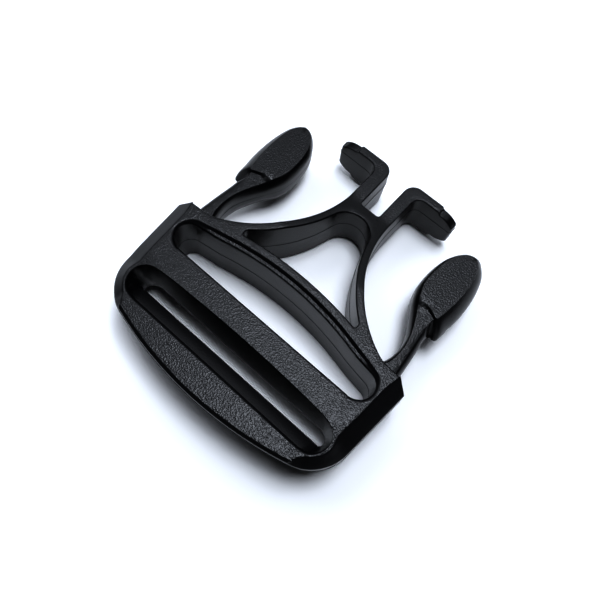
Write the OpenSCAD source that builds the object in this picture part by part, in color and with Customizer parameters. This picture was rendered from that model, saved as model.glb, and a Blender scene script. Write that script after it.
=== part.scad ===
// Plug half of a side-release buckle for flat webbing, moulded in one shot.
// The strap frame carries an arch and two guides, and a spring prong stands on
// each shoulder. It lies flat: +Z is up, +Y points to the guide tips, and the
// origin is the middle of its footprint, on the surface it lies on.

/* [Overall size] */
// Length from the strap end to the guide tips
body_l = 52; // [51.5:0.5:54]
// Width across the shoulders
body_w = 47.2; // [46.8:0.2:48.4]
// Thickness of the frame
body_t = 12; // [11.5:0.25:12.5]

/* [Strap frame] */
// Radius of the bowed strap end
front_r = 64; // [60:1:70]
// Radius of the two corners at the strap end
corner_r = 8; // [7:0.5:9]
// Width of the top face of the front bar
front_bar_w = 4.8; // [4.4:0.1:5.2]
// Distance from the strap end to the strap slot
slot_from = 8.3; // [8.1:0.1:8.5]
// Clear gap of the strap slot
slot_gap = 2.2; // [1.8:0.1:2.4]
// Length of the strap slot, a little over the webbing's width
slot_l = 38.3; // [38:0.1:38.8]
// Distance from the strap end to the top face of the mid bar
mid_bar_from = 11.7; // [11.5:0.1:12]
// Distance from the strap end to the crescent opening
crescent_from = 15.9; // [15.6:0.1:16.2]
// Length of the crescent opening
crescent_l = 39.6; // [39:0.1:40]
// Depth of the crescent opening at its middle
crescent_d = 8.2; // [7.8:0.1:8.6]
// Radius of the bowed edge of the crescent opening
crescent_r = 55; // [52:1:60]
// Width of the arc bar at its middle
arc_bar_w = 1.5; // [1.3:0.1:1.8]

/* [Arch and guides] */
// Radius of the hollow outer side of an arch leg
leg_r = 21.4; // [21:0.1:21.8]
// Thickness of an arch leg
leg_t = 1.6; // [1.3:0.1:1.9]
// Distance from the strap end to the apex of the arch opening
apex_from = 40.5; // [40:0.1:41]
// Distance from the strap end to the notch between the guides
notch_from = 43; // [42.6:0.1:43.4]
// Width of the notch between the guides
notch_w = 3.5; // [3:0.1:4]
// Width of a guide's stem
guide_w = 2.6; // [2.4:0.1:3]
// Height of the guides' underside above the surface the buckle lies on
guide_from = 0.8; // [0.6:0.1:1.2]
// Thickness of the guides
guide_t = 8.4; // [8:0.1:8.6]
// Distance from the middle to the end of a guide's foot
foot_reach = 12; // [11.6:0.1:12.2]
// Thickness of a guide's foot along the buckle
foot_t = 1.8; // [1.6:0.1:2]

/* [Prongs] */
// Distance from the middle to a prong's root
root_x = 19.8; // [19.6:0.1:20]
// Thickness of a prong's arm, top to bottom
arm_t = 6; // [5.6:0.1:6.4]
// Thickness of a prong's head, top to bottom
head_t = 7; // [6.6:0.1:7.4]
// Radius of the round root of a prong
root_r = 1.6; // [1.5:0.05:1.7]
// Clearance round the root of a prong
root_gap = 0.12; // [0.1:0.01:0.15]

/* [Hidden] */
$fn = 96;
plastic = "#26262a";
// Overlap that makes a cut run clean through a face
cut = 0.5;
front_y = -body_l / 2;
mid_z = body_t / 2;

// Half width of the flat top face, and of the frame at its strap end
top_half_w = 20.7;
front_half_w = 22.95;

// Plan places along the buckle
shoulder_from = 21.9;
shoulder_top_from = 23.2;
crescent_y = front_y + crescent_from;
arc_y = crescent_y + crescent_d;
arc_bar_r = crescent_r + 7;
apex_y = front_y + apex_from;
notch_y = front_y + notch_from;
slope_y = notch_y - 13;
stem_y = notch_y - 2.8;
foot_y = -front_y - foot_t;
root = [root_x, front_y + 22.9];

// Centre shared by the two curves of an arch leg, and the inner one's radius
leg_centre = [leg_r + notch_w / 2 + guide_w, front_y + 43.3];
leg_inner_r = leg_r + leg_t;

// Circle that is tangent to both inner curves of the legs, just under the apex
apex_drop = leg_centre.y - apex_y;
apex_r = (leg_centre.x ^ 2 + apex_drop ^ 2 - leg_inner_r ^ 2) / (2 * (leg_inner_r - apex_drop));

// Corner circle that is tangent to the bowed strap end
corner_x = front_half_w - corner_r;
corner_y = front_y + front_r - sqrt((front_r - corner_r) ^ 2 - corner_x ^ 2);

// End circle of the crescent, tangent to its straight edge and its bowed one
crescent_half_l = crescent_l / 2;
end_b = 2 * (2 * crescent_r - crescent_d - crescent_half_l);
end_c = crescent_half_l ^ 2 + (crescent_r - crescent_d) ^ 2 - crescent_r ^ 2;
end_r = (sqrt(end_b ^ 2 - 4 * end_c) - end_b) / 2;

// A mirrored copy beside the original
module both_sides() {
    children();
    mirror([1, 0, 0]) children();
}

// A profile in Y and Z, drawn along X to a given half width
module along_x(half_w) {
    rotate([90, 0, 90])
        translate([0, 0, -half_w])
            linear_extrude(2 * half_w) children();
}

// A profile in X and Z, drawn along the whole buckle
module along_y() {
    rotate([90, 0, 0])
        translate([0, 0, -body_l / 2])
            linear_extrude(body_l) children();
}

// Plan of the strap frame: tapered sides, bowed strap end, slanted shoulders
module strap_frame_plan() {
    bow_half_w = corner_x * front_r / (front_r - corner_r);
    shoulder_slant = 2.4;
    intersection() {
        translate([0, front_y + front_r]) circle(front_r, $fn = 360);
        union() {
            both_sides() {
                polygon([
                    [0, corner_y],
                    [front_half_w, corner_y],
                    [body_w / 2, front_y + shoulder_from],
                    [body_w / 2 - shoulder_slant, front_y + shoulder_top_from],
                    [0, front_y + shoulder_top_from],
                ]);
                translate([corner_x, corner_y]) circle(corner_r);
            }
            translate([-bow_half_w, front_y])
                square([2 * bow_half_w, corner_y - front_y]);
        }
    }
}

// Disc whose edge is the outer edge of the arc bar
module arc_bar_disc() {
    translate([0, arc_y + arc_bar_w - arc_bar_r]) circle(arc_bar_r, $fn = 360);
}

// Plan of the arc bar, which bows towards the guides
module arc_bar_plan() {
    intersection() {
        arc_bar_disc();
        translate([-root_x, crescent_y]) square([2 * root_x, crescent_d + arc_bar_w]);
    }
}

// Plan of the arch: two hollow legs that lean together into a web
module arch_plan() {
    half_w = root_x - 2;
    difference() {
        translate([-half_w, crescent_y])
            square([2 * half_w, notch_y - crescent_y]);
        both_sides() translate(leg_centre) circle(leg_r, $fn = 180);
    }
}

// Plan of the opening under the arch, which narrows to a round apex
module arch_opening_plan() {
    half_w = 11.4;
    apex = [0, apex_y - apex_r];
    tangent_y = leg_centre.y - leg_inner_r * (leg_centre.y - apex.y) / (leg_inner_r + apex_r);
    difference() {
        translate([-half_w, arc_y]) square([2 * half_w, tangent_y - arc_y]);
        both_sides() translate(leg_centre) circle(leg_inner_r, $fn = 180);
        arc_bar_disc();
    }
    translate(apex) circle(apex_r);
}

// Plan of the crescent opening between the mid bar and the arc bar
module crescent_plan() {
    end_x = crescent_half_l - end_r;
    tangent_x = end_x * crescent_r / (crescent_r - end_r);
    intersection() {
        translate([0, arc_y - crescent_r]) circle(crescent_r, $fn = 360);
        union() {
            translate([-end_x, crescent_y]) square([2 * end_x, end_r]);
            translate([-tangent_x, crescent_y + end_r])
                square([2 * tangent_x, crescent_d - end_r]);
            both_sides() translate([end_x, crescent_y + end_r]) circle(end_r);
        }
    }
}

// Plan of one guide: a stem and a foot that points outwards
module guide_plan() {
    inner = notch_w / 2;
    outer = inner + guide_w;
    tip_r = 2.2;
    foot_r = 0.5;
    inside_r = 1.6;
    foot_end = foot_reach - foot_r;
    translate([inner, stem_y]) square([guide_w, -front_y - tip_r - stem_y]);
    translate([inner + tip_r, foot_y]) square([foot_end - inner - tip_r, foot_t]);
    translate([inner + tip_r, -front_y - tip_r]) circle(tip_r);
    for (y = [foot_y + foot_r, -front_y - foot_r])
        translate([foot_end, y]) circle(foot_r);
    translate([foot_end, foot_y + foot_r]) square([foot_r, foot_t - 2 * foot_r]);
    difference() {
        translate([outer - cut, foot_y - inside_r]) square(inside_r + cut);
        translate([outer + inside_r, foot_y - inside_r]) circle(inside_r);
    }
}

// Profile of one guide, seen along the buckle: the foot steps in and ends round
module guide_profile() {
    step = 0.6;
    step_x = 8.7;
    taper = 1.2;
    round_r = 1.7;
    inner = notch_w / 2;
    low = guide_from + taper + round_r;
    high = guide_from + guide_t - taper - round_r;
    translate([inner, guide_from]) square([step_x - inner, guide_t]);
    hull() {
        translate([step_x - cut, guide_from + step]) square([cut, guide_t - 2 * step]);
        for (z = [low, high]) translate([foot_reach - round_r, z]) circle(round_r);
    }
}

module guides() {
    both_sides() intersection() {
        linear_extrude(body_t) guide_plan();
        along_y() guide_profile();
    }
}

// Cross profile of the frame: the side faces slope in above and below
module cross_profile() {
    slope = 2.6;
    half_w = body_w / 2;
    polygon([
        [-half_w, slope], [-top_half_w, 0], [top_half_w, 0], [half_w, slope],
        [half_w, body_t - slope], [top_half_w, body_t],
        [-top_half_w, body_t], [-half_w, body_t - slope],
    ]);
}

// Side profile: it thins towards the strap end, and the arch slopes to the guides
module side_profile() {
    polygon([
        [front_y, body_t - 2.3], [front_y + 0.4, body_t - 0.6],
        [front_y + 6, body_t - 0.4], [front_y + 9, body_t],
        [slope_y, body_t], [notch_y, guide_from + guide_t],
        [notch_y, guide_from], [slope_y, 0],
        [front_y + 10, 0], [front_y + 4.4, body_t - 6.6],
    ]);
}

// Side profile of the hollow between the front bar and the mid bar
module strap_hollow_profile() {
    far = slot_from + slot_gap;
    polygon([
        [front_y + front_bar_w, body_t + cut],
        [front_y + front_bar_w, body_t - 0.8],
        [front_y + front_bar_w + 0.8, body_t - 3],
        [front_y + slot_from - 0.4, body_t - 4.4],
        [front_y + slot_from - 0.4, body_t - 5],
        [front_y + far + 0.4, body_t - 5],
        [front_y + mid_bar_from, body_t],
        [front_y + mid_bar_from, body_t + cut],
    ]);
}

// Side profile of the strap slot itself, and of the room below the bars
module strap_slot_profile() {
    far = slot_from + slot_gap;
    polygon([
        [front_y + slot_from - 0.4, body_t - 4],
        [front_y + slot_from, body_t - 5.8],
        [front_y + slot_from - 0.9, body_t - 7],
        [front_y, body_t - 7],
        [front_y, -cut],
        [crescent_y + cut, -cut],
        [crescent_y + cut, body_t - 9],
        [front_y + far + 1.2, body_t - 9],
        [front_y + far, body_t - 5.8],
        [front_y + far + 0.4, body_t - 4],
    ]);
}

// Round seat in a shoulder that holds a prong's root
module root_seat() {
    r = root_r + root_gap;
    h = arm_t + 2 * root_gap;
    mouth = 3;
    translate([root.x, root.y, mid_z - h / 2]) {
        cylinder(h, r, r);
        translate([-r, 0, 0]) cube([2 * r, mouth, h]);
    }
}

module frame() {
    hollow_half_w = slot_l / 2 + 0.85;
    color(plastic) difference() {
        union() {
            intersection() {
                linear_extrude(body_t) union() {
                    strap_frame_plan();
                    arc_bar_plan();
                    arch_plan();
                }
                along_y() cross_profile();
                along_x(body_w) side_profile();
            }
            guides();
        }
        translate([0, 0, -cut]) linear_extrude(body_t + 2 * cut) {
            crescent_plan();
            arch_opening_plan();
        }
        along_x(hollow_half_w) strap_hollow_profile();
        along_x(slot_l / 2) strap_slot_profile();
        both_sides() root_seat();
    }
}

// Plan of a prong's head: an almond with a round tip and a slanted barb
module head_plan() {
    intersection() {
        translate([-1, 12.8]) circle(23, $fn = 180);
        translate([25, 15]) circle(11.3, $fn = 180);
        translate([17.9, 14.5]) circle(7.5, $fn = 180);
        polygon([[12, 12], [15.6, 8], [18.8, 9.2], [21.9, 7.2], [24, 25], [12, 25]]);
    }
}

// Plan of a prong's arm, which leans in from its root to the head
module arm_plan() {
    polygon([
        [root.x + 1.2, root.y], [root.x + 0.3, 1.9], [19.4, 5.4], [19.1, 10],
        [16, 10], [17.6, 4.9], [root.x - 1.7, 1.9], [root.x - 1.2, root.y],
    ]);
}

// The right prong; the left one is its mirror image
module prong() {
    color(plastic) {
        translate([0, 0, mid_z - arm_t / 2]) {
            linear_extrude(arm_t) arm_plan();
            translate([root.x, root.y, 0]) cylinder(arm_t, root_r, root_r);
        }
        translate([0, 0, mid_z - head_t / 2]) linear_extrude(head_t) head_plan();
    }
}

module prong_right() {
    prong();
}

module prong_left() {
    mirror([1, 0, 0]) prong();
}

frame();
prong_left();
prong_right();
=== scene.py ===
"""Looks of a moulded buckle plug: rounded edges, grain, parting line, floor, light and camera.

Outlines are in millimetres in the part's own frame, whose origin is the middle of the footprint, on the
surface that the buckle lies on. +Y points to the guide tips and +Z up. Meshes are made in metres.
"""
import math

import bpy
import numpy as np
from mathutils import Matrix, Vector, geometry, kdtree


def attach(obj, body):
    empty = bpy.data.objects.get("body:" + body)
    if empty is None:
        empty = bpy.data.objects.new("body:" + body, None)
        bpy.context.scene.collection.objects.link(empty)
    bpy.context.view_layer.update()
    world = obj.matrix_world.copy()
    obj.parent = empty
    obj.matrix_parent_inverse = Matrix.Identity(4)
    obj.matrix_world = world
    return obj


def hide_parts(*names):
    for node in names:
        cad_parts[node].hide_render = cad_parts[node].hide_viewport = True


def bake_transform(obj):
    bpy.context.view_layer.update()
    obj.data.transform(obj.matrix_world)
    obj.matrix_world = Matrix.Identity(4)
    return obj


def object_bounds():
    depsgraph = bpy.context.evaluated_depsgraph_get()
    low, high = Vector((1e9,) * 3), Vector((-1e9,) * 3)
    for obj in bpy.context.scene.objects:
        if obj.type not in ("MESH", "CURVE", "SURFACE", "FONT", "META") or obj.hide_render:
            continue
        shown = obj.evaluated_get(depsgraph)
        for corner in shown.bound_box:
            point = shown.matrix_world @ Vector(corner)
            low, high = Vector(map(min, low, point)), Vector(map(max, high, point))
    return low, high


bl_info = {
    "name": "Side-release buckle plug",
    "version": (1, 0, 0),
    "blender": (4, 5, 0),
    "location": "3D View > Sidebar > Buckle",
    "description": "Builds the looks of a moulded buckle plug on its packed frame",
    "category": "Add Mesh",
}

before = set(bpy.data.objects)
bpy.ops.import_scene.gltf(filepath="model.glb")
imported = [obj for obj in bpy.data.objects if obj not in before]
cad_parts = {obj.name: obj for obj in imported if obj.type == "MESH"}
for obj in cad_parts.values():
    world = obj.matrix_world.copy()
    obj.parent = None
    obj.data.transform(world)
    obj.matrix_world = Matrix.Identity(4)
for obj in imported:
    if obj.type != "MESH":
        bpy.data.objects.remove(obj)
CAD_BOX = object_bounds()

MM = 0.001
HALF = 0.5
# Points closer than this, in millimetres, are one point
SAME = 1e-6

# Thickness, the height of the parting line, and the two ends of the buckle
BODY_T = (CAD_BOX[1].z - CAD_BOX[0].z) / MM
MID_Z = BODY_T / 2
FRONT_Y = CAD_BOX[0].y / MM
BACK_Y = CAD_BOX[1].y / MM

# Strap frame in plan: bowed strap end, corners, sides and shoulders
FRONT_R = 64.0
CORNER_R = 8.0
CORNER_CENTRE = (14.95, -15.97)
SHOULDER = (23.6, -4.1)
SHOULDER_INNER = (21.2, -2.8)
FRONT_BAR_END = -21.2
MID_BAR_START = -14.3
SLOT_EDGES = (-17.7, -15.5)
SLOT_HALF_L = 19.15
RECESS_HALF_L = 20.0
# Where the room under the two bars ends, and its height
ROOM_ENDS = (19.9, 20.5)
ROOM_H = 3.0
# How far the front bar's upper face lies below the rails', at the lip and farther in
LIP_DROP = 0.6
FRONT_BAR_DROP = 0.4

# Crescent opening and arc bar
CRESCENT_Y = -10.1
CRESCENT_D = 8.2
CRESCENT_R = 55.0
CRESCENT_HALF_L = 19.8
CRESCENT_END_R = 2.656
ARC_Y = CRESCENT_Y + CRESCENT_D
ARC_BAR_W = 1.5
ARC_BAR_R = 62.0
# How far the arc bar's wall stands out below its top edge
ARC_FOOT = 1.35

# Arch legs, the opening between them, and the guides
LEG_CENTRE = (25.75, 17.3)
LEG_R = 21.4
LEG_INNER_R = 23.0
OPENING_HALF_W = 11.4
APEX_Y = 14.5
APEX_R = 3.51
ARCH_SLOPE = (4.0, 17.0)
NOTCH_Y = 17.0
GUIDE_IN = 1.75
GUIDE_OUT = 4.35
GUIDE_HEIGHTS = (0.8, 9.2)
TIP_R = 2.2

# Foot of a guide: an upright tab that steps in, tapers and ends round
FOOT_Y = 24.2
FOOT_END = 12.0
FOOT_STEP_X = 8.7
FOOT_STEP = 0.6
FOOT_STEP_SLANT = 0.1
FOOT_FALL = 2.3

# Prongs: half the thickness of the arm and of the head
ARM_HALF_T = 3.0
HEAD_HALF_T = 3.5
# Line in plan from which the head has its full thickness: a place on it, and its slope
BARB_LINE = (19.68, 9.12)
BARB_LINE_SLOPE = 0.384

# Rings of points that round one edge, and points that soften a plan corner
RINGS = 7
CORNER_POINTS = 6
# Room for the parting line's ridge, and the slope that lets the mould open
SEAM_ROOM = 0.05
DRAFT = 0.08
# How far in from the outline the ridge's middle lies, as a multiple of its room
RIDGE_IN = 1.6
# Least height of a wall, where the edges above and below it nearly meet
LEAST_WALL = 0.02
# Distance between the points that fill a face, and the gaps that they keep from the outlines' points, from
# the points that keep a shape crisp, and from the outlines themselves
FILL_SPACING = 0.8
OUTLINE_GAP = 0.45 * FILL_SPACING
SHAPE_GAP = 0.35 * FILL_SPACING
SHAPE_OUTLINE_GAP = 0.12
EDGE_GAP = 0.05
# An edge that turns by more than this stays crisp, in degrees
CRISP_ANGLE = 32

# Refractive index: solid acetal has 1.48, and it was lowered until the tones came nearer to the photo's
PLASTIC_IOR = 1.36
# Upright part of the normal from which a surface takes the grain, and from which it takes all of it
GRAIN_FROM = 0.93
GRAIN_FULL = 0.985

# Floor: half its width and its level, in metres, a hair below the buckle
FLOOR_REACH = 1.5
FLOOR_Z = -0.00002
CARD_ROUGHNESS = 0.9
# Brightness of the surroundings low down and overhead, and the height from which it rises
SKY_LOW = 0.003
SKY_HIGH = 0.012
SKY_RISE = 0.3
EXPOSURE = 1.7
GAMMA = 0.7

# Camera, fitted to the photo: angles in degrees, and the point that it looks at and its distance in mm
CAMERA_AZIMUTH = 41.846
CAMERA_ELEVATION = 69.148
CAMERA_ROLL = 1.0
CAMERA_TARGET = (-4.226, -10.1, 12.0)
CAMERA_DISTANCE = 110.41
# Nearest thing that it sees, in metres
CAMERA_NEAR = 0.005
# Its focal length and sideways shift, in pixels of the photo's width
PHOTO_W = 600
FOCAL_PX = 722.387
SHIFT_PX = 60
SENSOR_W = 36


def linear(hex_colour):
    """Linear RGBA of an sRGB hex colour."""
    parts = [int(hex_colour[i:i + 2], 16) / 255 for i in (1, 3, 5)]
    return [c / 12.92 if c <= 0.04045 else ((c + 0.055) / 1.055) ** 2.4 for c in parts] + [1.0]


def arc(centre, radius, start, end, count):
    """Points on an arc, from one angle to another, in degrees."""
    turn = np.radians(np.linspace(start, end, count))
    return np.column_stack([centre[0] + radius * np.cos(turn), centre[1] + radius * np.sin(turn)])


def line(start, end, spacing=1.2):
    """Points on a straight line."""
    start, end = np.array(start, float), np.array(end, float)
    count = max(2, int(np.hypot(*(end - start)) / spacing) + 1)
    return start + (end - start) * np.linspace(0, 1, count)[:, None]


def through(knots, count):
    """Points evenly spaced on a smooth curve through the knots."""
    knots = np.array(knots, float)
    padded = np.vstack([2 * knots[0] - knots[1], knots, 2 * knots[-1] - knots[-2]])
    steps = 12
    t = np.linspace(0, 1, steps, endpoint=False)[:, None]
    pieces = []
    for a, b, c, d in zip(padded, padded[1:], padded[2:], padded[3:]):
        pieces.append(HALF * (2 * b + (c - a) * t + (2 * a - 5 * b + 4 * c - d) * t ** 2
                              + (3 * b - a - 3 * c + d) * t ** 3))
    curve = np.vstack(pieces + [knots[-1:]])
    return evenly(curve, count)


def evenly(points, count):
    """The same path with its points evenly spaced."""
    points = np.asarray(points, float)
    along = np.r_[0, np.cumsum(np.hypot(*np.diff(points[:, :2], axis=0).T))]
    where = np.linspace(0, along[-1], count)
    return np.column_stack([np.interp(where, along, points[:, k]) for k in range(points.shape[1])])


def eased(value, start, end):
    """Share of the way from start to end, with a soft beginning and a soft finish."""
    share = np.clip((value - start) / (end - start), 0, 1)
    return share ** 2 * (3 - 2 * share)


def rounding(inset, depth):
    """A rounded edge: how far in from the widest outline, and how far below the face, each ring lies."""
    turn = np.linspace(0, math.pi / 2, RINGS)
    wall = SEAM_ROOM + DRAFT
    return np.column_stack([wall + inset * (1 - np.sin(turn)), depth * (1 - np.cos(turn))])


def leaning(inset, depth):
    """A straight slanting edge, given in the same way as a rounded one."""
    fall = np.linspace(0, 1, RINGS)
    return np.column_stack([inset * (1 - fall), depth * fall])


class Outline:
    """A closed outline in plan, walked with the plastic on its left, and its edges above and below."""

    def __init__(self, parted=True):
        self.rows = np.zeros((0, 4 + 4 * RINGS))
        self.parted = parted

    def add(self, points, over, under, over_end=None, under_end=None, way=None):
        """Adds a stretch whose edges change evenly from its start to its end."""
        points = np.asarray(points, float)
        along = np.r_[0, np.cumsum(np.hypot(*np.diff(points, axis=0).T))]
        share = (along / along[-1])[:, None, None]
        over = over + share * ((over if over_end is None else over_end) - over)
        under = under + share * ((under if under_end is None else under_end) - under)
        way = np.full_like(points, np.nan) if way is None else np.asarray(way, float)
        rows = np.hstack([points, way, over.reshape(len(points), -1), under.reshape(len(points), -1)])
        if len(self.rows) and np.hypot(*(self.rows[-1, :2] - points[0])) < SAME:
            rows = rows[1:]
        self.rows = np.vstack([self.rows, rows])

    def mirror(self, opening=False):
        """Closes the outline with the mirror image of its right half, the other way round for an opening."""
        other = self.rows[::-1].copy()
        other[:, 0] *= -1
        other[:, 2] *= -1
        middle = np.abs(other[:, 0]) < SAME
        self.rows = np.vstack([self.rows, other[~middle]])
        if opening:
            self.rows = self.rows[::-1]

    def soften(self, at, reach):
        """Replaces the corner nearest to a point with a small curve that starts its reach away."""
        here = int(np.argmin(np.hypot(*(self.rows[:, :2] - at).T)))
        half = len(self.rows) // 2
        rows = np.roll(self.rows, half - here, axis=0)
        along = np.r_[0, np.cumsum(np.hypot(*np.diff(rows[:, :2], axis=0).T))]
        start, end = along[half] - reach, along[half] + reach
        t = np.linspace(0, 1, CORNER_POINTS)
        where = start + (end - start) * t
        new = np.column_stack([np.interp(where, along, rows[:, k]) for k in range(rows.shape[1])])
        a, b, c = new[0, :2], rows[half, :2], new[-1, :2]
        t = t[:, None]
        new[:, :2] = (1 - t) ** 2 * a + 2 * t * (1 - t) * b + t ** 2 * c
        margin = 0.04
        self.rows = np.vstack([rows[along < start - margin], new, rows[along > end + margin]])

    def parts(self):
        """Outline, the way in to the plastic at each point, and the edges above and below."""
        base, way = self.rows[:, :2], self.rows[:, 2:4].copy()
        edges = self.rows[:, 4:].reshape(len(base), 2, RINGS, 2)
        ahead = np.roll(base, -1, axis=0) - base
        ahead /= np.hypot(*ahead.T)[:, None]
        normal = np.column_stack([-ahead[:, 1], ahead[:, 0]])
        normal = (normal + np.roll(normal, 1, axis=0)) / 2
        # At a sharp corner the way in would reach too far
        sharpest = 0.45
        size = np.maximum((normal ** 2).sum(axis=1), sharpest)
        free = np.isnan(way[:, 0])
        way[free] = (normal / size[:, None])[free]
        return base, way, edges[:, 0], edges[:, 1]


def inside(places, rings):
    """Whether each place has plastic: it is inside an odd number of outlines."""
    odd = np.zeros(len(places), bool)
    for ring in rings:
        for (ax, ay), (bx, by) in zip(ring, np.roll(ring, -1, axis=0)):
            crosses = (ay > places[:, 1]) != (by > places[:, 1])
            if ay != by:
                odd ^= crosses & (places[:, 0] < ax + (places[:, 1] - ay) * (bx - ax) / (by - ay))
    return odd


def away(places, rings):
    """Distance of each place from the nearest outline."""
    nearest = np.full(len(places), np.inf)
    for ring in rings:
        for start, end in zip(ring, np.roll(ring, -1, axis=0)):
            way = end - start
            share = np.clip((places - start) @ way / max(way @ way, SAME ** 2), 0, 1)[:, None]
            nearest = np.minimum(nearest, np.hypot(*(places - start - share * way).T))
    return nearest


def closed_edges(rings):
    """Edges that join the points of each ring, numbered through all the rings."""
    edges, first = [], 0
    for ring in rings:
        n = len(ring)
        edges += [(first + i, first + (i + 1) % n) for i in range(n)]
        first += n
    return edges


def tree_of(places):
    """A tree that finds the nearest of some places in plan."""
    tree = kdtree.KDTree(len(places))
    for i, (x, y) in enumerate(places):
        tree.insert((x, y, 0), i)
    tree.balance()
    return tree


def clear_of(tree, places, gap):
    """The places that lie farther than a gap from the nearest one of a tree."""
    return [(x, y) for x, y in places if tree.find((x, y, 0))[2] > gap]


def fill(rings, height, extra):
    """Triangles that fill the outlines, with points between them that follow the height."""
    points = np.vstack(rings)
    low, high = points.min(axis=0), points.max(axis=0)
    grid = []
    for row, y in enumerate(np.arange(low[1], high[1], FILL_SPACING)):
        for x in np.arange(low[0] + (row % 2) * FILL_SPACING / 2, high[0], FILL_SPACING):
            grid.append((x, y))
    outline_tree = tree_of(points)
    between = clear_of(outline_tree, clear_of(tree_of(extra), grid, SHAPE_GAP), OUTLINE_GAP)
    between += clear_of(outline_tree, extra, SHAPE_OUTLINE_GAP)
    # A point on an outline would split it on the face and not on the wall
    between = [p for p, gap in zip(between, away(np.array(between), rings)) if gap > EDGE_GAP]
    everything = [Vector(p) for p in points] + [Vector(p) for p in between]
    merge = 1e-5
    result = geometry.delaunay_2d_cdt(everything, closed_edges(rings), [], 0, merge, True)
    corners, _, triangles, origin, _, _ = result
    places = np.array([tuple(c) for c in corners])
    centres = places[np.array(triangles)].mean(axis=1)
    triangles = [t for t, solid in zip(triangles, inside(centres, rings)) if solid]
    used = [o[0] if o else None for o in origin]
    crossings = {tuple(corners[i]) for t in triangles for i in t if used[i] is None}
    if crossings:
        raise RuntimeError("outlines cross at %s" % sorted(crossings))
    plan = np.array(between)
    solid = np.column_stack([plan, height(plan[:, 0], plan[:, 1])])
    return [[used[i] for i in t] for t in triangles], solid


def shell(body, outlines, top, bottom, extra):
    """Adds a closed shape: the rounded wall of each outline, and the faces above and below."""
    above, below, above_ids, below_ids = [], [], [], []
    for outline in outlines:
        base, way, over, under = outline.parts()
        n = len(base)
        over_plan = base + way * over[:, 0, :1]
        under_plan = base + way * under[:, 0, :1]
        over_z = top(over_plan[:, 0], over_plan[:, 1])
        under_z = bottom(under_plan[:, 0], under_plan[:, 1])
        rings = []
        for k in range(RINGS):
            rings.append(np.column_stack([base + way * over[:, k, :1], over_z - over[:, k, 1]]))
        low = under_z + under[:, -1, 1]
        high = np.maximum(rings[-1][:, 2], low + LEAST_WALL)
        rings[-1][:, 2] = high
        middle = base + way * np.maximum(over[:, -1, :1] - DRAFT, 0)
        rings.append(np.column_stack([middle, np.clip(MID_Z, low + LEAST_WALL / 2, high - LEAST_WALL / 2)]))
        for k in reversed(range(RINGS)):
            rings.append(np.column_stack([base + way * under[:, k, :1], under_z + under[:, k, 1]]))
        start = len(body["points"])
        body["points"] += [tuple(p) for ring in rings for p in ring]
        for r in range(len(rings) - 1):
            for i in range(n):
                j = (i + 1) % n
                a, b = start + r * n + i, start + (r + 1) * n + i
                c, d = start + (r + 1) * n + j, start + r * n + j
                body["faces"].append((a, b, c, d))
        ridge = base + way / np.maximum(np.hypot(*way.T), 1)[:, None] * SEAM_ROOM * RIDGE_IN
        if outline.parted:
            body["seams"].append(np.column_stack([ridge, rings[RINGS][:, 2]]))
        above.append(rings[0][:, :2])
        below.append(rings[-1][:, :2])
        above_ids += range(start, start + n)
        below_ids += range(start + (len(rings) - 1) * n, start + len(rings) * n)
    for rings, height, ids, up in ((above, top, above_ids, True), (below, bottom, below_ids, False)):
        triangles, solid = fill(rings, height, extra)
        ids = list(ids) + list(range(len(body["points"]), len(body["points"]) + len(solid)))
        body["points"] += [tuple(p) for p in solid]
        places = np.array([body["points"][i][:2] for i in ids])
        for t in triangles:
            a, b, c = (places[i] for i in t[:3])
            anticlockwise = (b[0] - a[0]) * (c[1] - a[1]) > (b[1] - a[1]) * (c[0] - a[0])
            face = [ids[i] for i in (t if anticlockwise == up else t[::-1])]
            body["faces"].append(face)


def front_edge(x):
    """Where the bowed strap end lies at a given place across the buckle."""
    return FRONT_Y + FRONT_R - np.sqrt(FRONT_R ** 2 - np.minimum(np.abs(x), FRONT_R / 2) ** 2)


def foot_drop(x):
    """How far a foot's upper face lies below its guide's, at a given place across the buckle."""
    start = FOOT_STEP_X + FOOT_STEP_SLANT
    step = np.interp(np.abs(x), (FOOT_STEP_X - FOOT_STEP_SLANT, start), (0, FOOT_STEP))
    past = np.clip((np.abs(x) - start) / (FOOT_END - start), 0, 1)
    return step + FOOT_FALL * (1 - np.sqrt(1 - past ** 2))


def frame_top(x, y):
    """Height of the frame's upper face: the front bar is thinner, and the arch slopes to the guides."""
    z = np.interp(y - front_edge(x), [0, 6, 9], [BODY_T - LIP_DROP, BODY_T - FRONT_BAR_DROP, BODY_T])
    z = np.minimum(z, np.interp(y, ARCH_SLOPE, (BODY_T, GUIDE_HEIGHTS[1])))
    return z - np.where(y > NOTCH_Y, foot_drop(x), 0)


def frame_bottom(x, y):
    """Height of the frame's underside: it rises to the thin strap end and under the two bars."""
    slope = np.interp(y - front_edge(x), [0, 4.4, 10], [10.6, 5.4, 0])
    # Towards the corners, where the bowed end lies farther back, the slope ends sooner
    slope = np.minimum(slope, np.interp(y, [-26, -23, -16], [11, 10, 0]))
    room = ROOM_H * np.interp(np.abs(x), ROOM_ENDS, (1, 0))
    room = room * np.interp(y, [CRESCENT_Y + 0.3, CRESCENT_Y + 0.5], [1, 0])
    z = np.maximum(slope, room)
    z = np.maximum(z, np.interp(y, ARCH_SLOPE, (0, GUIDE_HEIGHTS[0])))
    return z + np.where(y > NOTCH_Y, foot_drop(x), 0)


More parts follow.
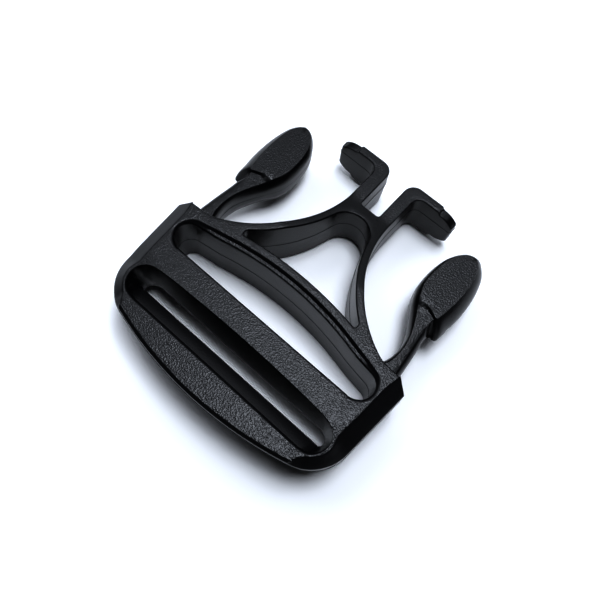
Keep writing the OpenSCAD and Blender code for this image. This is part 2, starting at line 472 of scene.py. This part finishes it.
def frame_outline():
    """Outer outline of the strap frame, the arch, and the guides with their feet."""
    crisp, soft, thin = rounding(0.3, 0.3), rounding(0.22, 0.25), rounding(0.2, 0.15)
    # The side faces slant, wide on the rails and narrower round the corners
    slant = np.array([(1, 0), (0.95, 0.03), (0.88, 0.1), (0.65, 0.35), (0.4, 0.62), (0.15, 0.88), (0, 1.06)])
    wall, foot_edge = (SEAM_ROOM + DRAFT, 0), rounding(1.2, 1.2)
    rail = slant * (2.7, 2.15) + wall
    # The lip slants and never turns upright
    rim = np.array([(0.68, 0), (0.62, 0.015), (0.5, 0.07), (0.4, 0.15), (0.3, 0.24), (0.2, 0.335),
                    (0.13, 0.4)])
    outline = Outline()
    centre = (0, FRONT_Y + FRONT_R)
    meet = math.degrees(math.atan2(CORNER_CENTRE[1] - centre[1], CORNER_CENTRE[0]))
    outline.add(arc(centre, FRONT_R, -90, meet, count=20), rim, thin)
    bend = arc(CORNER_CENTRE, CORNER_R, meet, 0, count=22)
    # Point of the bend, edge above and edge below, where the wall leans in under the strap end
    slants = ((0, rim, thin),
              (5, slant * (1.6, 1.35) + wall, thin),
              (12, slant * (1.65, 1.55) + wall, leaning(1.0, 3.0) + wall),
              (16, slant * (1.95, 1.8) + wall, leaning(1.4, 5.4) + wall),
              (21, rail, foot_edge))
    for (start, over, under), (end, over_end, under_end) in zip(slants, slants[1:]):
        outline.add(bend[start:end + 1], over, under, over_end, under_end)
    side = line((CORNER_CENTRE[0] + CORNER_R, CORNER_CENTRE[1]), SHOULDER)
    outline.add(side[:-1], rail, foot_edge, rail, rail)
    # At the shoulder the slant runs in to one corner, so its insets are shares of the way there
    along = np.array(SHOULDER_INNER) - SHOULDER
    shares = rail / [rail[0, 0], 1]
    outline.add(np.array([SHOULDER, SHOULDER]) + [[0, 0], [-0.01, 0.006]], shares, shares,
                way=np.array([along, along]))
    leg_start = -2.6
    dx = math.sqrt(LEG_R ** 2 - (LEG_CENTRE[1] - leg_start) ** 2)
    foot = (LEG_CENTRE[0] - dx, leg_start)
    outline.add(line(SHOULDER_INNER, foot), crisp, crisp)
    first = math.degrees(math.atan2(leg_start - LEG_CENTRE[1], -dx)) % 360
    outline.add(arc(LEG_CENTRE, LEG_R, first, 180, count=50), crisp, crisp, crisp, soft)
    flare_y, foot_x = 22.7, 6.2
    outline.add(line((GUIDE_OUT, LEG_CENTRE[1]), (GUIDE_OUT, flare_y)), soft, soft)
    flare = through([(GUIDE_OUT, flare_y), (4.6, 23.5), (5.2, 24.05), (foot_x, FOOT_Y)], count=10)
    outline.add(flare, soft, soft)
    end_r, foot_spacing = 0.5, 0.25
    outline.add(line((foot_x, FOOT_Y), (FOOT_END - end_r, FOOT_Y), foot_spacing), soft, soft)
    outline.add(arc((FOOT_END - end_r, FOOT_Y + end_r), end_r, -90, 0, count=6), soft, soft)
    outline.add(arc((FOOT_END - end_r, BACK_Y - end_r), end_r, 0, 90, count=6), soft, soft)
    outline.add(line((FOOT_END - end_r, BACK_Y), (GUIDE_IN + TIP_R, BACK_Y), foot_spacing), soft, soft)
    outline.add(arc((GUIDE_IN + TIP_R, BACK_Y - TIP_R), TIP_R, 90, 180, count=10), soft, soft)
    outline.add(line((GUIDE_IN, BACK_Y - TIP_R), (GUIDE_IN, NOTCH_Y)), soft, soft)
    outline.add(line((GUIDE_IN, NOTCH_Y), (0, NOTCH_Y), spacing=0.5), soft, soft)
    outline.mirror()
    for side in (1, -1):
        outline.soften((side * GUIDE_IN, NOTCH_Y), reach=0.5)
        outline.soften((side * foot[0], foot[1]), reach=0.8)
    return outline


def crescent_outline():
    """Outline of the crescent opening, with a ledge under the arc bar's top edge."""
    crisp, end_edge, wall = rounding(0.35, 0.35), rounding(0.6, 0.6), SEAM_ROOM + DRAFT
    foot_in = 0.25
    ledge = np.array([(ARC_FOOT, 0), (1.3, 0.02), (1.1, 0.25), (0.9, 0.5), (0.45, 0.58), (0.3, 0.75),
                      (foot_in, 1.1)])
    ledge[:, 0] += wall - foot_in
    end_x, end_y = CRESCENT_HALF_L - CRESCENT_END_R, CRESCENT_Y + CRESCENT_END_R
    arc_centre = (0, ARC_Y - CRESCENT_R)
    meet = math.degrees(math.atan2(end_y - arc_centre[1], end_x))
    outline = Outline()
    outline.add(line((0, CRESCENT_Y), (end_x, CRESCENT_Y)), crisp, crisp)
    turn = arc((end_x, end_y), CRESCENT_END_R, -90, meet, count=30)
    bow = arc(arc_centre, CRESCENT_R, meet, 90, count=44)
    edge = np.vstack([turn, bow[1:]])
    inward = np.vstack([((end_x, end_y) - turn) / CRESCENT_END_R, (arc_centre - bow[1:]) / CRESCENT_R])
    along = np.r_[0, np.cumsum(np.hypot(*np.diff(edge, axis=0).T))]
    turned = along[len(turn) - 1]
    # The ledge grows out of the round end, and is whole a little way along the arc bar
    grow = eased(along, turned * 0.35, turned + 5.5)[:, None]
    rims = end_edge + grow[:, :, None] * (ledge - end_edge)
    outline.add(edge + inward * (ARC_FOOT - foot_in) * grow, rims, crisp)
    outline.mirror(opening=True)
    return outline


def arch_outline():
    """Outline of the opening between the arc bar and the arch legs."""
    crisp = rounding(0.3, 0.3)
    outline = Outline()
    centre = (0, ARC_Y + ARC_BAR_W - ARC_BAR_R)
    corner_turn = math.degrees(math.acos(OPENING_HALF_W / ARC_BAR_R))
    bar = arc(centre, ARC_BAR_R, 90, corner_turn, count=14)
    outline.add(bar, crisp, crisp)
    dx = LEG_CENTRE[0] - OPENING_HALF_W
    leg_low = (OPENING_HALF_W, LEG_CENTRE[1] - math.sqrt(LEG_INNER_R ** 2 - dx ** 2))
    first = math.degrees(math.atan2(leg_low[1] - LEG_CENTRE[1], -dx)) % 360
    apex = (0, APEX_Y - APEX_R)
    last = math.degrees(math.atan2(apex[1] - LEG_CENTRE[1], apex[0] - LEG_CENTRE[0])) % 360
    outline.add(line(bar[-1], leg_low, spacing=0.4), crisp, crisp)
    outline.add(arc(LEG_CENTRE, LEG_INNER_R, first, last, count=40), crisp, crisp)
    outline.add(arc(apex, APEX_R, last - 180, 90, count=16), crisp, crisp)
    outline.mirror(opening=True)
    for side in (1, -1):
        outline.soften((side * bar[-1][0], bar[-1][1]), reach=0.25)
        outline.soften((side * leg_low[0], leg_low[1]), reach=0.3)
    return outline


def strap_outline():
    """Outline of the strap slot, which widens upwards into the hollow between the two bars."""
    # The hollow's walls: share of the way from the slot to the hollow's edge, and depth
    front_shape = np.array([(1, 0), (0.96, 0.05), (0.89, 0.25), (0.82, 1.0), (0.76, 3.0), (0.1, 3.9),
                            (0, 5.2)])
    bar_shape = np.array([(1, 0), (0.96, 0.05), (0.88, 0.3), (0.7, 1.4), (0.45, 2.9), (0.2, 4.5), (0, 5.8)])
    end_shape = np.array([(1, 0), (0.95, 0.06), (0.85, 0.3), (0.68, 1.2), (0.46, 2.6), (0.2, 4.3), (0, 5.8)])
    front_under, bar_under, end_under = leaning(0.26, 1.1), leaning(1.7, 3.0), leaning(0.3, 1.8)
    count, turn_count = 18, 26
    # Where the straight edges of the hollow and of the slot end
    front_x, bar_meet, slot_x = 16.6, (16.5, -14.85), 18.0
    top_front = evenly([(0, FRONT_BAR_END), (front_x, FRONT_BAR_END)], count)
    top_end = through([(front_x, FRONT_BAR_END), (18.3, -20.9), (19.5, -19.9), (20.1, -18.4),
                       (RECESS_HALF_L, -16.9), (19.1, -15.7), (17.9, -15.1), bar_meet], turn_count)
    top_bar = through([bar_meet, (12.5, -14.6), (6, -14.38), (0, MID_BAR_START)], count)
    low_front = evenly([(0, SLOT_EDGES[0]), (slot_x, SLOT_EDGES[0])], count)
    low_end = evenly([(slot_x, SLOT_EDGES[0]), (18.75, -17.68), (19.1, -17.4), (SLOT_HALF_L, -17.0),
                      (19.1, -16.5), (18.9, -16.0), (18.5, -15.65), (slot_x, SLOT_EDGES[1])], turn_count)
    low_bar = evenly([(slot_x, SLOT_EDGES[1]), (0, SLOT_EDGES[1])], count)
    end_way, half = top_end - low_end, turn_count // 2
    outline = Outline(parted=False)
    outline.add(low_front, front_shape, front_under, way=top_front - low_front)
    outline.add(low_end[:half], front_shape, front_under, end_shape, end_under, way=end_way[:half])
    outline.add(low_end[half:], end_shape, end_under, bar_shape, bar_under, way=end_way[half:])
    outline.add(low_bar, bar_shape, bar_under, way=top_bar - low_bar)
    outline.mirror(opening=True)
    return outline


def shape_points():
    """Points that keep the steps under the two bars crisp, and the ends of the feet round."""
    points = []
    step = (FOOT_STEP_X - FOOT_STEP_SLANT, FOOT_STEP_X + FOOT_STEP_SLANT)
    round_end = (9.5, 10.3, 10.7, 11.1, 11.4)
    for x in step + round_end:
        for y in np.arange(FOOT_Y + 0.4, BACK_Y - 0.3, 0.25):
            points += [(x, y), (-x, y)]
    for x in ROOM_ENDS:
        for y in np.arange(-23, CRESCENT_Y + 0.5, 0.5):
            points += [(x, y), (-x, y)]
    return points


def build_frame(body):
    """Adds the strap frame, the arch and the guides with their feet."""
    outlines = [frame_outline(), crescent_outline(), arch_outline(), strap_outline()]
    shell(body, outlines, frame_top, frame_bottom, shape_points())


def barb_line(x):
    """Where the head reaches its full thickness, at a given place across the prong."""
    return BARB_LINE[1] + BARB_LINE_SLOPE * (BARB_LINE[0] - np.abs(x))


def prong_top(x, y):
    """Height of a prong's upper face: the head stands above the arm."""
    # Behind the barb it is a step, and inside it a longer ramp
    reach = np.interp(np.abs(x), [15.8, 17.6], [2.2, 0.3])
    return MID_Z + ARM_HALF_T + (HEAD_HALF_T - ARM_HALF_T) * eased(y - barb_line(x), -reach, 0)


def prong_bottom(x, y):
    """Height of a prong's underside, which mirrors its upper face."""
    return BODY_T - prong_top(x, y)


def build_prong(body, side):
    """Adds one prong: the arm, which leans in from the shoulder, and the barbed head."""
    arm = np.array([(1, 0), (0.9, 0.05), (0.72, 0.16), (0.5, 0.36), (0.28, 0.66), (0.1, 1.1), (0, 1.7)])
    barb = np.array([(1, 0), (0.96, 0.08), (0.8, 0.5), (0.6, 1.2), (0.35, 2.0), (0.1, 2.9), (0, 3.3)])
    cheek = np.array([(1, 0), (0.92, 0.14), (0.72, 0.5), (0.48, 1.05), (0.26, 1.75), (0.08, 2.55), (0, 3.3)])
    inner = np.array([(1, 0), (0.9, 0.06), (0.7, 0.25), (0.45, 0.65), (0.2, 1.2), (0.05, 1.75), (0, 2.2)])
    # Widest outline, edge of the upper face, and which of the four edges rounds the one into the other
    knots = [(20.9, -4.3, 20.2, -4.3, arm), (21.2, -2.9, 20.4, -2.9, arm), (21.2, -1.6, 20.35, -1.5, arm),
             (21.05, 0, 20.1, 0.1, arm), (20.75, 2.5, 19.75, 2.6, arm), (20.35, 5.2, 19.4, 5.2, arm),
             (20.2, 6.4, 19.25, 6.9, arm), (20.35, 7.0, 19.2, 8.3, barb), (20.9, 7.2, 19.35, 8.95, barb),
             (21.5, 7.45, 19.6, 9.15, barb), (21.78, 8.2, 19.8, 9.5, cheek), (21.9, 10.2, 20.0, 10.8, cheek),
             (22.1, 12.4, 20.25, 12.9, cheek), (22.1, 14.7, 20.3, 15.0, cheek),
             (21.85, 17.2, 20.2, 17.3, cheek), (21.4, 19.3, 19.9, 19.2, cheek),
             (20.8, 20.9, 19.4, 20.4, cheek), (19.9, 22.05, 18.85, 21.1, cheek),
             (18.9, 22.4, 18.05, 21.5, inner), (17.6, 22.25, 17.2, 21.45, inner),
             (16.3, 21.6, 16.4, 20.95, inner), (15.2, 20.4, 15.6, 19.9, inner),
             (14.45, 18.9, 15.0, 18.5, inner), (14.0, 17.0, 14.65, 16.8, inner),
             (13.8, 14.7, 14.5, 14.7, inner), (13.95, 12.4, 14.6, 12.7, inner),
             (14.55, 10.5, 15.2, 10.9, inner), (15.6, 8.6, 16.3, 8.9, inner),
             (16.75, 6.6, 17.35, 6.8, inner), (17.7, 4.7, 18.15, 4.9, inner),
             (18.2, 3.2, 18.6, 3.3, arm), (18.35, 1.8, 18.8, 1.8, arm), (18.25, 0.4, 18.8, 0.3, arm),
             (17.95, -0.8, 18.6, -1.0, arm), (17.5, -1.7, 18.1, -2.1, arm), (17.1, -2.6, 17.8, -3.1, arm),
             (17.1, -4.3, 17.8, -4.3, arm)]
    count = 200
    curve = through([(*knot[:4], *knot[4].ravel()) for knot in knots], count)
    edges = curve[:, 4:].reshape(-1, RINGS, 2)
    outline = Outline()
    outline.add(curve[:, :2], edges, edges, way=curve[:, 2:4] - curve[:, :2])
    if side < 0:
        outline.rows[:, [0, 2]] *= -1
        outline.rows = outline.rows[::-1]
    # Two rows of points keep the step behind the barb crisp
    across, backs = np.arange(16.6, 19.4, 0.4), (0, 0.3)
    barb_points = [(side * x, barb_line(x) - back) for x in across for back in backs]
    shell(body, [outline], prong_top, prong_bottom, barb_points)


def new_body():
    """An empty list of points, faces and parting lines."""
    return {"points": [], "faces": [], "seams": []}


def placed(name, data):
    """A new object in the scene that shows a mesh, a lamp or a camera."""
    thing = bpy.data.objects.new(name, data)
    bpy.context.scene.collection.objects.link(thing)
    return thing


def ridge_nodes():
    """Nodes that sweep a fine ridge along a path, and the inputs for its width and material."""
    group = bpy.data.node_groups.new("parting line", "GeometryNodeTree")
    group.interface.new_socket("Geometry", in_out="INPUT", socket_type="NodeSocketGeometry")
    width = group.interface.new_socket("Ridge width", in_out="INPUT", socket_type="NodeSocketFloat")
    coat = group.interface.new_socket("Material", in_out="INPUT", socket_type="NodeSocketMaterial")
    group.interface.new_socket("Geometry", in_out="OUTPUT", socket_type="NodeSocketGeometry")
    start = group.nodes.new("NodeGroupInput")
    path = add(group, "GeometryNodeMeshToCurve", {}, {"Mesh": start.outputs["Geometry"]})
    half = add(group, "ShaderNodeMath", {"operation": "MULTIPLY"}, {0: start.outputs["Ridge width"], 1: HALF})
    sides = 6
    ring = add(group, "GeometryNodeCurvePrimitiveCircle", {},
               {"Resolution": sides, "Radius": half.outputs[0]})
    sweep = add(group, "GeometryNodeCurveToMesh", {},
                {"Curve": path.outputs["Curve"], "Profile Curve": ring.outputs["Curve"]})
    smooth = add(group, "GeometryNodeSetShadeSmooth", {}, {"Geometry": sweep.outputs["Mesh"]})
    real = add(group, "GeometryNodeRealizeInstances", {}, {"Geometry": smooth.outputs["Geometry"]})
    paint = add(group, "GeometryNodeSetMaterial", {},
                {"Geometry": real.outputs["Geometry"], "Material": start.outputs["Material"]})
    end = group.nodes.new("NodeGroupOutput")
    group.links.new(paint.outputs["Geometry"], end.inputs["Geometry"])
    return group, width, coat


def seam_mesh(body, material):
    """Mesh of the fine ridge that the mould's parting line leaves, swept along the outlines."""
    group, width, coat = ridge_nodes()
    points = [tuple(p) for seam in body["seams"] for p in seam * MM]
    mesh = bpy.data.meshes.new("seam path")
    mesh.from_pydata(points, closed_edges(body["seams"]), [])
    carrier = placed("seam path", mesh)
    modifier = carrier.modifiers.new("parting line", "NODES")
    modifier.node_group = group
    modifier[width.identifier] = bpy.context.scene.buckle_sizes.seam_width
    modifier[coat.identifier] = material
    graph = bpy.context.evaluated_depsgraph_get()
    result = bpy.data.meshes.new_from_object(carrier.evaluated_get(graph))
    bpy.data.objects.remove(carrier)
    return result


def finished(name, body, material):
    """Turns a body into a mesh object with crisp edges, smooth faces and its parting line."""
    mesh = bpy.data.meshes.new(name)
    mesh.from_pydata([tuple(c * MM for c in p) for p in body["points"]], [], body["faces"])
    mesh.materials.append(material)
    mesh.validate()
    mesh.shade_smooth()
    mesh.set_sharp_from_angle(angle=math.radians(CRISP_ANGLE))
    piece = placed(name, mesh)
    seam = placed(name + "_seam", seam_mesh(body, material))
    weigh = piece.modifiers.new("face weights", "WEIGHTED_NORMAL")
    weigh.keep_sharp = True
    graph = bpy.context.evaluated_depsgraph_get()
    piece.data = bpy.data.meshes.new_from_object(piece.evaluated_get(graph))
    piece.modifiers.clear()
    with bpy.context.temp_override(active_object=piece, selected_editable_objects=[piece, seam],
                                   selected_objects=[piece, seam]):
        bpy.ops.object.join()
    return piece


def add(tree, kind, settings, links):
    """Adds a node with its settings, its input values and its links."""
    node = tree.nodes.new(kind)
    for key, value in settings.items():
        setattr(node, key, value)
    for key, value in links.items():
        if isinstance(value, bpy.types.NodeSocket):
            tree.links.new(value, node.inputs[key])
        else:
            node.inputs[key].default_value = value
    return node


def moulded_acetal():
    """Black acetal, injection moulded in a spark-eroded tool.

    Its upper and lower faces carry the tool's fine grain, so they scatter light and sparkle. Walls are drawn
    along the tool as it opens, so they carry little grain and look smoother and glossier.
    """
    looks = bpy.context.scene.buckle_looks
    material = bpy.data.materials.new("black moulded acetal")
    material.use_nodes = True
    tree = material.node_tree
    shader = tree.nodes["Principled BSDF"]
    shader.inputs["Base Color"].default_value = list(looks.plastic_colour) + [1.0]
    shader.inputs["IOR"].default_value = PLASTIC_IOR
    place = add(tree, "ShaderNodeTexCoord", {}, {})
    facing = add(tree, "ShaderNodeNewGeometry", {}, {})
    split = add(tree, "ShaderNodeSeparateXYZ", {}, {0: facing.outputs["Normal"]})
    flat = add(tree, "ShaderNodeMath", {"operation": "ABSOLUTE"}, {0: split.outputs["Z"]})
    face = add(tree, "ShaderNodeMapRange", {"clamp": True},
               {"Value": flat.outputs[0], "From Min": GRAIN_FROM, "From Max": GRAIN_FULL})
    pattern = {"Vector": place.outputs["Object"], "Scale": 1 / looks.grain_size}
    craters = add(tree, "ShaderNodeTexVoronoi", {"feature": "F1"}, pattern)
    blur = add(tree, "ShaderNodeTexNoise", {}, {**pattern, "Detail": 1.0})
    grain = add(tree, "ShaderNodeMath", {"operation": "ADD"},
                {0: craters.outputs["Distance"], 1: blur.outputs[0]})
    strength = add(tree, "ShaderNodeMapRange", {"clamp": True},
                   {"Value": face.outputs[0], "To Min": looks.wall_grain, "To Max": looks.face_grain})
    bump = add(tree, "ShaderNodeBump", {},
               {"Height": grain.outputs[0], "Strength": strength.outputs[0], "Distance": looks.grain_depth})
    rough = add(tree, "ShaderNodeMapRange", {"clamp": True},
                {"Value": face.outputs[0], "To Min": looks.wall_roughness, "To Max": looks.face_roughness})
    tree.links.new(bump.outputs["Normal"], shader.inputs["Normal"])
    tree.links.new(rough.outputs[0], shader.inputs["Roughness"])
    return material


def plastic():
    """The one material of the moulding, made when it is first needed."""
    return bpy.data.materials.get("black moulded acetal") or moulded_acetal()


def add_floor(studio):
    """Adds a sheet of matt white card, which scatters light evenly and shows no reflection."""
    mesh = bpy.data.meshes.new("floor")
    corners = [(x * FLOOR_REACH, y * FLOOR_REACH, FLOOR_Z) for x, y in ((-1, -1), (1, -1), (1, 1), (-1, 1))]
    mesh.from_pydata(corners, [], [range(len(corners))])
    floor = placed("floor", mesh)
    paper = bpy.data.materials.new("matt white card")
    paper.use_nodes = True
    card = paper.node_tree.nodes["Principled BSDF"]
    card.inputs["Base Color"].default_value = list(studio.floor_colour) + [1.0]
    card.inputs["Roughness"].default_value = CARD_ROUGHNESS
    mesh.materials.append(paper)


def add_surround(studio):
    """Adds a dim studio that is brighter overhead, and the contrast of a product photo."""
    scene = bpy.context.scene
    world = bpy.data.worlds.new("surround")
    world.use_nodes = True
    tree = world.node_tree
    ground = tree.nodes["Background"]
    place = add(tree, "ShaderNodeTexCoord", {}, {})
    split = add(tree, "ShaderNodeSeparateXYZ", {}, {0: place.outputs["Generated"]})
    ramp = add(tree, "ShaderNodeMapRange", {"clamp": True, "interpolation_type": "SMOOTHSTEP"},
               {"Value": split.outputs["Z"], "From Min": SKY_RISE,
                "To Min": SKY_LOW * studio.sky, "To Max": SKY_HIGH * studio.sky})
    ground.inputs["Color"].default_value = linear("#f4f6ff")
    tree.links.new(ramp.outputs[0], ground.inputs["Strength"])
    scene.world = world
    scene.view_settings.view_transform = "Standard"
    scene.view_settings.exposure = EXPOSURE
    scene.view_settings.gamma = GAMMA


def add_lamps(studio):
    """Adds the lamps, which all point at the buckle."""
    # Name, place and size in metres, and power
    lamps = (("soft box above", (0.03, 0.045, 0.6), (0.2, 0.2), studio.key),
             ("small lamp above", (-0.055, 0.14, 0.58), (0.08, 0.08), studio.small),
             ("wide soft box behind", (0.0, 0.36, 0.48), (0.6, 0.4), studio.back),
             ("soft box at the left", (-0.39, 0.056, 0.446), (0.4, 0.4), studio.side))
    for name, place, (width, height), power in lamps:
        box = bpy.data.lights.new(name, "AREA")
        box.shape = "RECTANGLE"
        box.size = width
        box.size_y = height
        box.energy = power
        box.color = studio.light_colour
        lamp = placed(name, box)
        lamp.location = place
        lamp.rotation_euler = (-lamp.location).to_track_quat("-Z", "Y").to_euler()


def add_camera():
    """Adds the camera at the place that was fitted to the photo."""
    azimuth, elevation, roll = (math.radians(a) for a in (CAMERA_AZIMUTH, CAMERA_ELEVATION, CAMERA_ROLL))
    back = Vector((math.sin(azimuth) * math.cos(elevation), -math.cos(azimuth) * math.cos(elevation),
                   math.sin(elevation)))
    right = Vector((-back.y, back.x, 0)).normalized()
    up = back.cross(right)
    turned = right * math.cos(roll) + up * math.sin(roll)
    upright = up * math.cos(roll) - right * math.sin(roll)
    camera = bpy.data.cameras.new("camera")
    camera.sensor_fit = "HORIZONTAL"
    camera.sensor_width = SENSOR_W
    camera.lens = SENSOR_W * FOCAL_PX / PHOTO_W
    camera.shift_x = SHIFT_PX / PHOTO_W
    camera.clip_start = CAMERA_NEAR
    viewer = placed("camera", camera)
    turn = Matrix((turned, upright, back)).transposed().to_4x4()
    place = Vector(CAMERA_TARGET) * MM + back * (CAMERA_DISTANCE * MM)
    viewer.matrix_world = Matrix.Translation(place) @ turn
    bpy.context.scene.camera = viewer


class BuckleSizes(bpy.types.PropertyGroup):
    """Sizes of the moulding's details."""

    seam_width: bpy.props.FloatProperty(
        name="Parting line width", description="Width of the ridge where the two mould halves met",
        default=0.00016, min=0.00005, max=0.0003, precision=5, unit="LENGTH")


class BuckleLooks(bpy.types.PropertyGroup):
    """Finish of the plastic."""

    plastic_colour: bpy.props.FloatVectorProperty(
        name="Plastic colour", description="Colour of the moulded plastic",
        default=linear("#0d0d0f")[:3], min=0, max=1, subtype="COLOR")
    # Coarser than real spark erosion, near 0.1 mm, which would be finer than a pixel of the photo
    grain_size: bpy.props.FloatProperty(
        name="Grain size", description="Width of one grain of the moulded texture",
        default=0.00026, min=0.0001, max=0.001, precision=5, unit="LENGTH")
    grain_depth: bpy.props.FloatProperty(
        name="Grain depth", description="Height of the moulded texture",
        default=0.000036, min=0, max=0.0005, precision=6, unit="LENGTH")
    face_grain: bpy.props.FloatProperty(
        name="Grain on faces", description="Share of the grain that shows on the upper and lower faces",
        default=1.0, min=0, max=1, subtype="FACTOR")
    wall_grain: bpy.props.FloatProperty(
        name="Grain on walls", description="Share of the grain that shows on the walls",
        default=0.15, min=0, max=1, subtype="FACTOR")
    face_roughness: bpy.props.FloatProperty(
        name="Roughness of faces", description="How dull the upper and lower faces are",
        default=0.28, min=0, max=1, subtype="FACTOR")
    wall_roughness: bpy.props.FloatProperty(
        name="Roughness of walls", description="How dull the walls are",
        default=0.28, min=0, max=1, subtype="FACTOR")


class BuckleStudio(bpy.types.PropertyGroup):
    """Floor and light."""

    floor_colour: bpy.props.FloatVectorProperty(
        name="Floor colour", description="Colour of the floor", default=linear("#f7f7f7")[:3], min=0, max=1,
        subtype="COLOR")
    sky: bpy.props.FloatProperty(
        name="Surround strength", description="Brightness of the surroundings", default=1.0, min=0, max=5)
    light_colour: bpy.props.FloatVectorProperty(
        name="Light colour", description="Colour of the lamps", default=linear("#eff5ff")[:3], min=0, max=1,
        subtype="COLOR")
    key: bpy.props.FloatProperty(
        name="Soft box power", description="Power of the soft box above", default=0.92, min=0, max=10,
        unit="POWER")
    small: bpy.props.FloatProperty(
        name="Small lamp power", description="Power of the small lamp above", default=0.12, min=0, max=10,
        unit="POWER")
    back: bpy.props.FloatProperty(
        name="Back light power", description="Power of the soft box behind", default=0.45, min=0, max=10,
        unit="POWER")
    side: bpy.props.FloatProperty(
        name="Side light power", description="Power of the soft box at the left", default=0.52, min=0, max=10,
        unit="POWER")


class BUCKLE_OT_frame(bpy.types.Operator):
    """Build the strap frame with its arch and guides"""

    bl_idname = "buckle.frame"
    bl_label = "Strap frame, arch and guides"

    def execute(self, context):
        body = new_body()
        build_frame(body)
        piece = finished("moulded_frame", body, plastic())
        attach(piece, "frame")
        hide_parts("frame")
        return {"FINISHED"}


class BUCKLE_OT_prongs(bpy.types.Operator):
    """Build the two spring prongs"""

    bl_idname = "buckle.prongs"
    bl_label = "Spring prongs"

    def execute(self, context):
        for name, side in (("prong_left", -1), ("prong_right", 1)):
            body = new_body()
            build_prong(body, side)
            piece = finished("moulded_" + name, body, plastic())
            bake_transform(piece)
            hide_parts(name)
        return {"FINISHED"}


class BUCKLE_OT_stage(bpy.types.Operator):
    """Add the floor, the light and the camera"""

    bl_idname = "buckle.stage"
    bl_label = "Floor, light and camera"

    def execute(self, context):
        studio = context.scene.buckle_studio
        add_floor(studio)
        add_surround(studio)
        add_lamps(studio)
        add_camera()
        return {"FINISHED"}


class BUCKLE_PT_panel(bpy.types.Panel):
    """Lists what the buckle is built from"""

    bl_label = "Buckle"
    bl_space_type = "VIEW_3D"
    bl_region_type = "UI"
    bl_category = "Buckle"

    def draw(self, context):
        for kind in OPERATORS:
            self.layout.operator(kind.bl_idname)
        for group in (context.scene.buckle_sizes, context.scene.buckle_looks, context.scene.buckle_studio):
            for name in group.bl_rna.properties.keys():
                if name not in ("rna_type", "name"):
                    self.layout.prop(group, name)


OPERATORS = (BUCKLE_OT_frame, BUCKLE_OT_prongs, BUCKLE_OT_stage)
GROUPS = {"buckle_sizes": BuckleSizes, "buckle_looks": BuckleLooks, "buckle_studio": BuckleStudio}
CLASSES = (*GROUPS.values(), *OPERATORS, BUCKLE_PT_panel)


def register():
    for kind in CLASSES:
        bpy.utils.register_class(kind)
    for name, kind in GROUPS.items():
        setattr(bpy.types.Scene, name, bpy.props.PointerProperty(type=kind))


def unregister():
    for name in GROUPS:
        delattr(bpy.types.Scene, name)
    for kind in reversed(CLASSES):
        bpy.utils.unregister_class(kind)


def main():
    register()
    bpy.ops.buckle.frame()
    bpy.ops.buckle.prongs()
    bpy.ops.buckle.stage()


if __name__ == "__main__":
    main()
